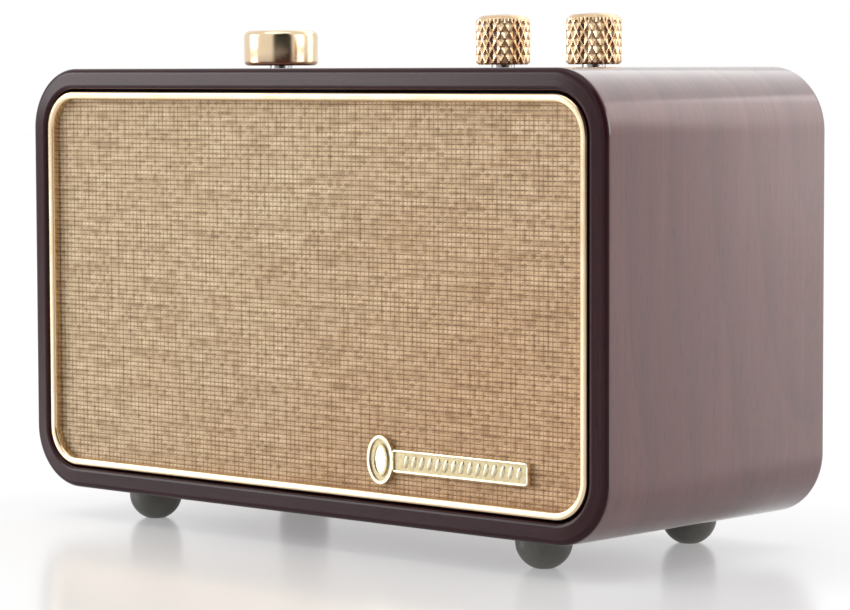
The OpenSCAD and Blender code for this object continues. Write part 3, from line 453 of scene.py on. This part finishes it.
finished(weft, cloth_finish("weft_thread", (0.82, 0.65, 0.445), (0.585, 0.425, 0.26),
                            (0.33, 0.215, 0.12), stretch=(45, 1, 1 / weft_gap), fuzz=0.12))
finished(warp, cloth_finish("warp_thread", (0.62, 0.46, 0.29), (0.40, 0.275, 0.16),
                            (0.22, 0.14, 0.075), stretch=(1 / warp_gap, 1, 60), fuzz=0.08))
woven = joined([weft, warp])
woven.name = woven.data.name = "grille_weave"

# The cloth's corners are cut round.
cut_r = bezel_r - 0.7 * MM
bpy.ops.object.mode_set(mode="EDIT")
for side_x in (-1, 1):
    for side_z in (-1, 1):
        middle = Vector((side_x * (cloth_w / 2 - bezel_r), 0, cabinet_mid + side_z * (cloth_h / 2 - bezel_r)))
        for angle in (math.radians(degrees) for degrees in (22.5, 45, 67.5)):
            out = Vector((side_x * math.cos(angle), 0, side_z * math.sin(angle)))
            bpy.ops.mesh.select_all(action="SELECT")
            bpy.ops.mesh.bisect(plane_co=middle + cut_r * out, plane_no=out, clear_outer=True)
bpy.ops.mesh.select_all(action="DESELECT")
bpy.ops.object.mode_set(mode="OBJECT")
bpy.ops.object.shade_smooth()
woven.select_set(False)

# The scrim lies close behind the threads, and its edge is wrapped round to the back.
scrim_in = 0.22 * MM
scrim_thick = 0.08 * MM
scrim_margin = 0.1 * MM     # how much smaller than the cloth it is, in width and height
scrim_slack = 0.5 * MM      # and in depth
wrap = cloth_back - cloth_front
bpy.ops.mesh.primitive_cube_add(size=1, location=(0, (cloth_front + cloth_back) / 2 + scrim_in, cabinet_mid),
                                scale=(cloth_w - scrim_margin, wrap - scrim_slack, cloth_h - scrim_margin))
scrim = started("grille_scrim")
pick(scrim, "EDGE", lambda p: abs(p.x) > 0.45 * cloth_w and abs(p.z - cabinet_mid) > 0.45 * cloth_h)
bpy.ops.mesh.bevel(offset=bezel_r, segments=12, affect="EDGES")
pick(scrim, "FACE", lambda p: p.y > cloth_back - edge_reach)
bpy.ops.mesh.delete(type="FACE")
closed(scrim)
modify(scrim, "SOLIDIFY", thickness=scrim_thick, offset=-1)
finished(scrim, cloth_finish("scrim_cloth", (0.30, 0.20, 0.11), (0.21, 0.135, 0.072),
                             (0.13, 0.08, 0.042), stretch=(300, 300, 300), fuzz=0.0))
for piece in (woven, scrim):
    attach(piece, "cabinet_body")
    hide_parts("grille_cloth")


# ---------------------------------------------------------------------------------------------
# Knobs: turned from brass bar. The tuning knob is smooth, gilded and polished, and is pressed
# as well as turned. The two smaller ones are knurled in diamonds and have a crowned top.

def turned(name, x, y, bottom, profile, sides):
    """A turned piece: a disc is drawn out along its axis and scaled at each step of its profile."""
    first_r, first_z = profile[0]
    bpy.ops.mesh.primitive_circle_add(vertices=sides, radius=first_r, fill_type="NGON",
                                      location=(x, y, bottom + first_z))
    piece = started(name)
    bpy.ops.object.mode_set(mode="EDIT")
    bpy.ops.mesh.select_mode(type="FACE")
    bpy.ops.mesh.select_all(action="SELECT")
    last_r, last_z = first_r, first_z
    for r, z in profile[1:]:
        bpy.ops.mesh.extrude_region_move(TRANSFORM_OT_translate={"value": (0, 0, z - last_z)})
        if abs(r - last_r) > 1e-9:
            bpy.ops.transform.resize(value=(r / last_r, r / last_r, 1), center_override=(x, y, bottom + z))
        last_r, last_z = r, z
    return piece

def arc(middle_r, middle_z, radius, start, end, steps):
    """Points of a profile on an arc, from one angle to another, in degrees."""
    angles = [math.radians(start + (end - start) * i / steps) for i in range(steps + 1)]
    return [(middle_r + radius * math.cos(a), middle_z + radius * math.sin(a)) for a in angles]

def round_size(node):
    """A round node's axis, bottom, radius and height."""
    low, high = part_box(node)
    return (low.x + high.x) / 2, (low.y + high.y) / 2, low.z, (high.x - low.x) / 2, high.z - low.z

bore_r = 3.06 * MM
over_bore = 3 * MM          # thickness left over the bore

# The tuning knob's top is dished a little inside its rounded edge.
lower_round, upper_round = 1.2 * MM, 1.7 * MM
dish_in, dish_slope = 0.8 * MM, 1.2 * MM
dish_deep, dish_middle_deep = 0.12 * MM, 0.2 * MM
dish_middle_r = 0.4 * MM
x, y, bottom, radius, height = round_size("tuning_knob")
tuning_knob = turned("tuning_knob_turned", x, y, bottom, [
    (bore_r, height - over_bore), (bore_r, 0), (radius - lower_round, 0),
    *arc(radius - lower_round, lower_round, lower_round, -80, 0, 6),
    *arc(radius - upper_round, height - upper_round, upper_round, 0, 82, 8),
    (radius - upper_round - dish_in, height),
    (radius - upper_round - dish_in - dish_slope, height - dish_deep),
    (dish_middle_r, height - dish_middle_deep)], 96)
closed(tuning_knob, 30)
finished(tuning_knob, gilt)
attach(tuning_knob, "tuning_control")
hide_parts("tuning_knob")

# Diamond knurl: rings of points are drawn up the side, and those between the crossing crests
# are scaled inwards, so that a small pit is left in each diamond.
diamonds = 20
points_each = 8
diamond_tall = 1.75         # height of a diamond over its width
pit_deep = 0.5 * MM
pit_shares = {4: 1, 3: 0.9, 2: 0.6, 1: 0.15}    # how deep a point goes, by points from a crest
knurl_from = 0.5 * MM
foot_in, groove_in, shoulder_in = 0.7 * MM, 0.1 * MM, 0.35 * MM     # in from the full radius
chamfer = 1.2 * MM
crown_h = 0.5 * MM
dimple_r, dimple_floor_r, dimple_deep = 1.9 * MM, 1.5 * MM, 0.6 * MM
knurled = metal_finish("knurled_brass", (0.86, 0.64, 0.41), (0.62, 0.42, 0.24), 0.24, 500, 3000)
for name, body in (("volume_knob", "volume_control"), ("tone_knob", "tone_control")):
    x, y, bottom, radius, height = round_size(name)
    knurl_to = height - crown_h - chamfer
    row = (2 * math.pi * radius / diamonds) / points_each * diamond_tall
    rows = round((knurl_to - knurl_from) / row)
    row = (knurl_to - knurl_from) / rows
    crown = [((radius - chamfer) * math.cos(a), knurl_to + chamfer + crown_h * math.sin(a))
             for a in (math.radians(degrees) for degrees in (15, 30, 45, 60, 75))]
    knob = turned(name + "_knurled", x, y, bottom, [
        (bore_r, height - over_bore), (bore_r, 0), (radius - foot_in, 0), (radius - groove_in, knurl_from),
        *[(radius, knurl_from + i * row) for i in range(rows + 1)],
        (radius - shoulder_in, knurl_to + 0.5 * chamfer), (radius - chamfer, knurl_to + chamfer),
        *crown, (dimple_r, height), (dimple_floor_r, height - dimple_deep)], diamonds * points_each)

    def crest_distance(p):
        """Points from the nearest crest, counted round the knob, or none off the knurled side."""
        level = (p.z - bottom - knurl_from) / row
        reach = math.hypot(p.x - x, p.y - y)
        if reach < radius - edge_reach or not -0.5 < level < rows + 0.5:
            return None
        along = math.atan2(p.y - y, p.x - x) / (2 * math.pi) * diamonds * points_each
        one, other = (along + level) % points_each, (along - level) % points_each
        return round(min(one, points_each - one, other, points_each - other))

    bpy.ops.object.mode_set(mode="OBJECT")
    for far, share in pit_shares.items():
        pick(knob, "VERT", lambda p: crest_distance(p) == far)
        shrink = 1 - pit_deep * share / radius
        bpy.ops.transform.resize(value=(shrink, shrink, 1), center_override=(x, y, bottom))
        bpy.ops.object.mode_set(mode="OBJECT")
    closed(knob, 22)
    finished(knob, knurled)
    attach(knob, body)
    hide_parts(name)


# ---------------------------------------------------------------------------------------------
# Feet: moulded rubber domes, screwed on from inside. Each stands on a small worn flat.

rubber, shader, add, put = finish_of("foot_rubber")
place = add("TexCoord").outputs["Object"]
dusty = noise(add, place, 120, 3)
put(shader, {"Base Color": shades(add, dusty, (0.35, (0.075, 0.075, 0.066)), (0.70, (0.135, 0.132, 0.115))),
             "Roughness": spread(add, dusty, (0, 1), (0.30, 0.50)),
             "Normal": raised(add, noise(add, place, 700, 4), 0.12, 0.0001)})
worn_flat_r = 2.3 * MM
dome_rise = 0.93            # height of the dome over the foot's radius
dome_steps = 24
screw_hole_r, screw_hole_deep = 1.56 * MM, 4.2 * MM
hole_rim_r, hole_rim_deep = 2.2 * MM, 0.1 * MM
for name in ("foot_front_left", "foot_front_right", "foot_rear_left", "foot_rear_right"):
    x, y, bottom, radius, height = round_size(name)
    low_angle = -math.degrees(math.acos(worn_flat_r / radius))
    skirt = height - dome_rise * radius
    scale = (height - skirt) / (radius * math.sin(math.radians(-low_angle)))
    angles = [math.radians(low_angle * (1 - i / dome_steps)) for i in range(1, dome_steps + 1)]
    dome = [(radius * math.cos(a), height - skirt + scale * radius * math.sin(a)) for a in angles]
    foot = turned(name + "_dome", x, y, bottom, [
        (worn_flat_r, 0), *dome, (radius, height), (hole_rim_r, height),
        (screw_hole_r, height - hole_rim_deep), (screw_hole_r, height - screw_hole_deep)], 64)
    closed(foot, 40)
    finished(foot, rubber)
    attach(foot, "cabinet_body")
    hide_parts(name)


# ---------------------------------------------------------------------------------------------
# Badge: a small die-cast plate with a raised rim, a row of flutes and a lozenge medallion,
# gilded pale. Two pins hold it through the cloth.

low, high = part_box("badge")
badge_face, badge_left, badge_right = low.y, low.x, high.x
badge_thick = cloth_front - badge_face
badge_y = (badge_face + cloth_front) / 2
bar_w, bar_h = 44 * MM, 5.6 * MM
bar_up = 7.9 * MM           # from the bezel's inner edge to the middle of the bar
bar_z = cabinet_mid - bezel_h / 2 + bezel_face + bar_up
bar_corner = 1.0 * MM
rim_w, rim_deep, rim_rounding = 0.55 * MM, 0.45 * MM, 0.16 * MM
bpy.ops.mesh.primitive_cube_add(size=1, location=(badge_right - bar_w / 2, badge_y, bar_z),
                                scale=(bar_w, badge_thick, bar_h))
bar = started("badge_plate")

def on_bar_corner(p):
    """Whether a point is on one of the bar's four upright corners."""
    from_end = min(abs(p.x - badge_right), abs(p.x - badge_right + bar_w))
    return abs(p.z - bar_z) > 0.4 * bar_h and from_end < touch

pick(bar, "EDGE", on_bar_corner)
bpy.ops.mesh.bevel(offset=bar_corner, segments=5, affect="EDGES")
pick(bar, "FACE", lambda p: p.y < badge_face + touch)
bpy.ops.mesh.inset(thickness=rim_w)
bpy.ops.mesh.extrude_region_move(TRANSFORM_OT_translate={"value": (0, rim_deep, 0)})
pick(bar, "EDGE", lambda p: p.y < badge_face + touch)
bpy.ops.mesh.bevel(offset=rim_rounding, segments=2, affect="EDGES")
closed(bar, 40)

# Leaning flutes fill the bar from its right end.
flutes, flute_gap = 15, 2.6 * MM
first_flute_in, flute_back = 3.2 * MM, 0.62 * MM
first_flute, flute_y = badge_right - first_flute_in, badge_face + flute_back
flute_radii = (0.78 * MM, 0.6 * MM, 1.95 * MM)
flute_lean = math.radians(18)
badge_parts = [bar]
for i in range(flutes):
    bpy.ops.mesh.primitive_uv_sphere_add(segments=16, ring_count=8, radius=1, rotation=(0, flute_lean, 0),
                                         location=(first_flute - i * flute_gap, flute_y, bar_z),
                                         scale=flute_radii)
    badge_parts.append(started("flute"))

# The medallion's face is sunk inside its rim, raised again and hollowed at the middle: each
# step goes inwards by the first size and back by the second.
medallion_h = 12 * MM
lozenge = 0.72              # width of the medallion over its height
medallion_x = badge_left + lozenge / 2 * medallion_h
bpy.ops.mesh.primitive_cylinder_add(vertices=48, radius=medallion_h / 2, depth=badge_thick,
                                    rotation=(math.pi / 2, 0, 0), scale=(lozenge, 1, 1),
                                    location=(medallion_x, badge_y, bar_z))
medallion = started("medallion")
for inwards, back in ((0.7 * MM, 0.4 * MM), (1.1 * MM, -0.4 * MM), (0.6 * MM, 0.25 * MM)):
    pick(medallion, "FACE", lambda p: abs(p.x - medallion_x) < 0.1 * MM and p.y < badge_face + 0.5 * MM)
    bpy.ops.mesh.inset(thickness=inwards)
    bpy.ops.mesh.extrude_region_move(TRANSFORM_OT_translate={"value": (0, back, 0)})
    bpy.ops.object.mode_set(mode="OBJECT")
badge_parts.append(medallion)
joined(badge_parts)
bpy.ops.object.shade_smooth_by_angle(angle=math.radians(40))
bar.select_set(False)

# The bar's floor and the medallion's groove are painted darker: painted shade in the recesses.
finished(bar, metal_finish("pale_gilt", (0.86, 0.79, 0.60), (0.66, 0.56, 0.36), 0.24, 500, 3000),
         metal_finish("painted_recess_shade", (0.55, 0.47, 0.30), (0.34, 0.27, 0.15), 0.40, 900, 3000))
# Faces on the bar's sunk floor and in the medallion's groove take the darker painted shade.
for face in bar.data.polygons:
    across = (face.center.x - badge_left) / medallion_h - lozenge / 2
    ring = math.hypot(across / lozenge, (face.center.z - bar_z) / medallion_h)
    sunk = face.center.y - badge_face
    on_bar = across > 0.5 and sunk > 0.3 * MM
    in_groove = across < 0.37 and 0.25 < ring < 0.44 and sunk > -0.1 * MM
    if face.normal.y < -0.9 and (on_bar or in_groove):
        face.material_index = 1
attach(bar, "cabinet_body")
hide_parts("badge")


# ---------------------------------------------------------------------------------------------
# Back and insides: moulded and pressed pieces that keep their CAD shape and get their finish.

def moulded_finish(name, colour, other, rough, grain, bump, metallic=0.0):
    """A plain shop finish: mottled colour, uneven gloss and a fine surface grain."""
    plastic, shader, add, put = finish_of(name)
    place = add("TexCoord").outputs["Object"]
    cloudy = noise(add, place, grain * 0.12, 4)
    sand = noise(add, place, grain, 3, 0.6)
    put(shader, {"Base Color": shades(add, cloudy, (0.35, colour), (0.68, other)), "Metallic": metallic,
                 "Roughness": spread(add, sand, (0.3, 0.7), (rough - 0.08, rough + 0.08)),
                 "Normal": raised(add, sand, bump)})
    return plastic

inner_looks = {
    "pine": ((0.52, 0.34, 0.17), (0.66, 0.46, 0.26), 0.6, 300, 0.2),
    "black_board": ((0.02, 0.018, 0.017), (0.035, 0.03, 0.028), 0.7, 900, 0.3),
    "black_plastic": ((0.020, 0.020, 0.022), (0.024, 0.024, 0.026), 0.46, 2600, 0.35),
    "foam": ((0.02, 0.02, 0.02), (0.05, 0.05, 0.05), 0.9, 1500, 0.8),
    "black_screw": ((0.03, 0.03, 0.032), (0.06, 0.06, 0.062), 0.32, 1800, 0.1, 0.8),
    "bright_steel": ((0.50, 0.50, 0.52), (0.66, 0.66, 0.68), 0.28, 1800, 0.08, 1.0),
    "basket_steel": ((0.05, 0.055, 0.06), (0.09, 0.095, 0.10), 0.4, 900, 0.15),
    "surround_rubber": ((0.012, 0.012, 0.012), (0.03, 0.03, 0.03), 0.5, 1500, 0.1),
    "cone_paper": ((0.02, 0.02, 0.02), (0.045, 0.043, 0.04), 0.85, 1800, 0.5),
    "coil_copper": ((0.55, 0.22, 0.09), (0.75, 0.36, 0.16), 0.3, 2500, 0.4, 1.0),
    "spider_cloth": ((0.50, 0.33, 0.08), (0.66, 0.46, 0.14), 0.8, 2500, 0.6),
    "plated_iron": ((0.45, 0.46, 0.48), (0.60, 0.61, 0.64), 0.3, 1200, 0.1, 1.0),
    "ferrite": ((0.03, 0.03, 0.032), (0.06, 0.058, 0.06), 0.6, 1500, 0.3),
    "circuit_board": ((0.01, 0.10, 0.045), (0.02, 0.16, 0.08), 0.35, 900, 0.15),
    "white_nylon": ((0.70, 0.69, 0.64), (0.82, 0.81, 0.77), 0.45, 1200, 0.1),
    "control_metal": ((0.50, 0.51, 0.53), (0.66, 0.67, 0.69), 0.32, 1500, 0.1, 1.0),
    "cell_wrap": ((0.03, 0.13, 0.30), (0.05, 0.18, 0.38), 0.25, 600, 0.08),
    "red_lead": ((0.42, 0.02, 0.015), (0.55, 0.04, 0.03), 0.4, 900, 0.05),
    "black_lead": ((0.015, 0.015, 0.015), (0.03, 0.03, 0.03), 0.4, 900, 0.05),
    "grey_lead": ((0.38, 0.38, 0.36), (0.5, 0.5, 0.48), 0.4, 900, 0.05),
}
inner_finishes = {name: moulded_finish(name, *look) for name, look in inner_looks.items()}
slot_of = {entry["node"]: entry["material_slot"] for entry in frame["record"]["subparts"]}
for node_name, slot in slot_of.items():
    if slot in inner_finishes:
        finished(frame["nodes"][node_name], inner_finishes[slot])


# ---------------------------------------------------------------------------------------------
# Springy pieces: the snap dome is pressed flat under the encoder's plunger, and each driver's woven spider
# gives way as its cone moves. Each is copied into a mesh of its own.

def springy(node_name):
    """A springy piece, copied into its own mesh and hung on the cabinet in place of its node."""
    node = frame["nodes"][node_name]
    piece = bpy.data.objects.new(node_name + "_springy", node.data.copy())
    bpy.context.scene.collection.objects.link(piece)
    closed(piece, 40)
    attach(piece, "cabinet_body")
    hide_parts(node_name)
    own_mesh(piece)

low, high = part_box("encoder_dome")
springy("encoder_dome")
for side in ("left", "right"):
    low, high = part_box(side + "_spider")
    springy(side + "_spider")


# ---------------------------------------------------------------------------------------------
# The setting: a glossy pale table, a white room, and a camera low at the right of the front.

bpy.ops.mesh.primitive_plane_add(size=8, location=(0, 0, 0))
table = started("table")
glossy, shader, add, put = finish_of("table_top")
put(shader, {"Base Color": (0.50, 0.50, 0.505, 1), "Roughness": 0.20, "Specular IOR Level": 0.32,
             "Emission Color": (1, 1, 1, 1), "Emission Strength": 0.27})
finished(table, glossy)

# The room is white, with a dark wall past the camera that the polished pieces mirror.
wall_turn, wall_core, wall_fade = (math.radians(degrees) for degrees in (-40, 25, 33))
world = bpy.data.worlds.new("white_room")
bpy.context.scene.world = world
world.use_nodes = True
add, put = node_maker(world.node_tree)
way = add("TexCoord").outputs["Generated"]
level = add("VectorMath", {0: way, 1: (1, 1, 0)}, operation="MULTIPLY").outputs["Vector"]
level = add("VectorMath", {0: level}, operation="NORMALIZE").outputs["Vector"]
facing = add("VectorMath", {0: level, 1: (math.cos(wall_turn), math.sin(wall_turn), 0)},
             operation="DOT_PRODUCT").outputs["Value"]
shade = spread(add, facing, (math.cos(wall_fade), math.cos(wall_core)), (1.0, 0.03))
seen = add("LightPath").outputs["Is Camera Ray"]
strength = add("Math", {0: shade, 1: seen}, operation="MAXIMUM").outputs["Value"]
put(world.node_tree.nodes["Background"], {"Color": (1, 1, 1, 1), "Strength": strength})

def soft_light(name, place, aim, size, power, colour=(1, 1, 1)):
    """A soft rectangular studio light that is aimed at a place and isn't itself seen."""
    light = bpy.data.lights.new(name, "AREA")
    light.shape = "RECTANGLE"
    light.size, light.size_y = size
    light.energy = power
    light.color = colour
    lamp = bpy.data.objects.new(name, light)
    bpy.context.scene.collection.objects.link(lamp)
    lamp.location = place
    lamp.visible_camera = False
    lamp.rotation_euler = (Vector(aim) - Vector(place)).to_track_quat("-Z", "Y").to_euler()

soft_light("side_window", (1.6, 0.5, 0.6), (0.1, 0, 0.06), (0.9, 0.9), 8)
soft_light("back_box", (-0.1, 1.4, 1.15), (0, 0, 0.08), (1.7, 0.7), 4)
soft_light("side_glow", (0.95, 1.72, 0.62), (0.1, 0, 0.06), (0.8, 1.3), 7.2, (1, 0.9, 0.87))
soft_light("front_box", (-1.5, -1.2, 0.60), (0, 0, 0.05), (1.0, 0.9), 18)
soft_light("top_box", (0.0, -0.3, 1.5), (0, 0, 0), (1.2, 1.0), 5)

lens = bpy.data.cameras.new("camera")
lens.sensor_width = 36
lens.lens = 140.8
lens.clip_start = 0.01
camera = bpy.data.objects.new("camera", lens)
bpy.context.scene.collection.objects.link(camera)
camera_place = (0.58493, -0.63242, 0.1202)
turn, nod, lean = (math.radians(degrees) for degrees in (42.576, 85.917, -0.188))
camera.matrix_world = (Matrix.Translation(camera_place) @ Matrix.Rotation(turn, 4, "Z")
                       @ Matrix.Rotation(nod, 4, "X") @ Matrix.Rotation(lean, 4, "Z"))
bpy.context.scene.camera = camera
bpy.context.scene.view_settings.view_transform = "Standard"
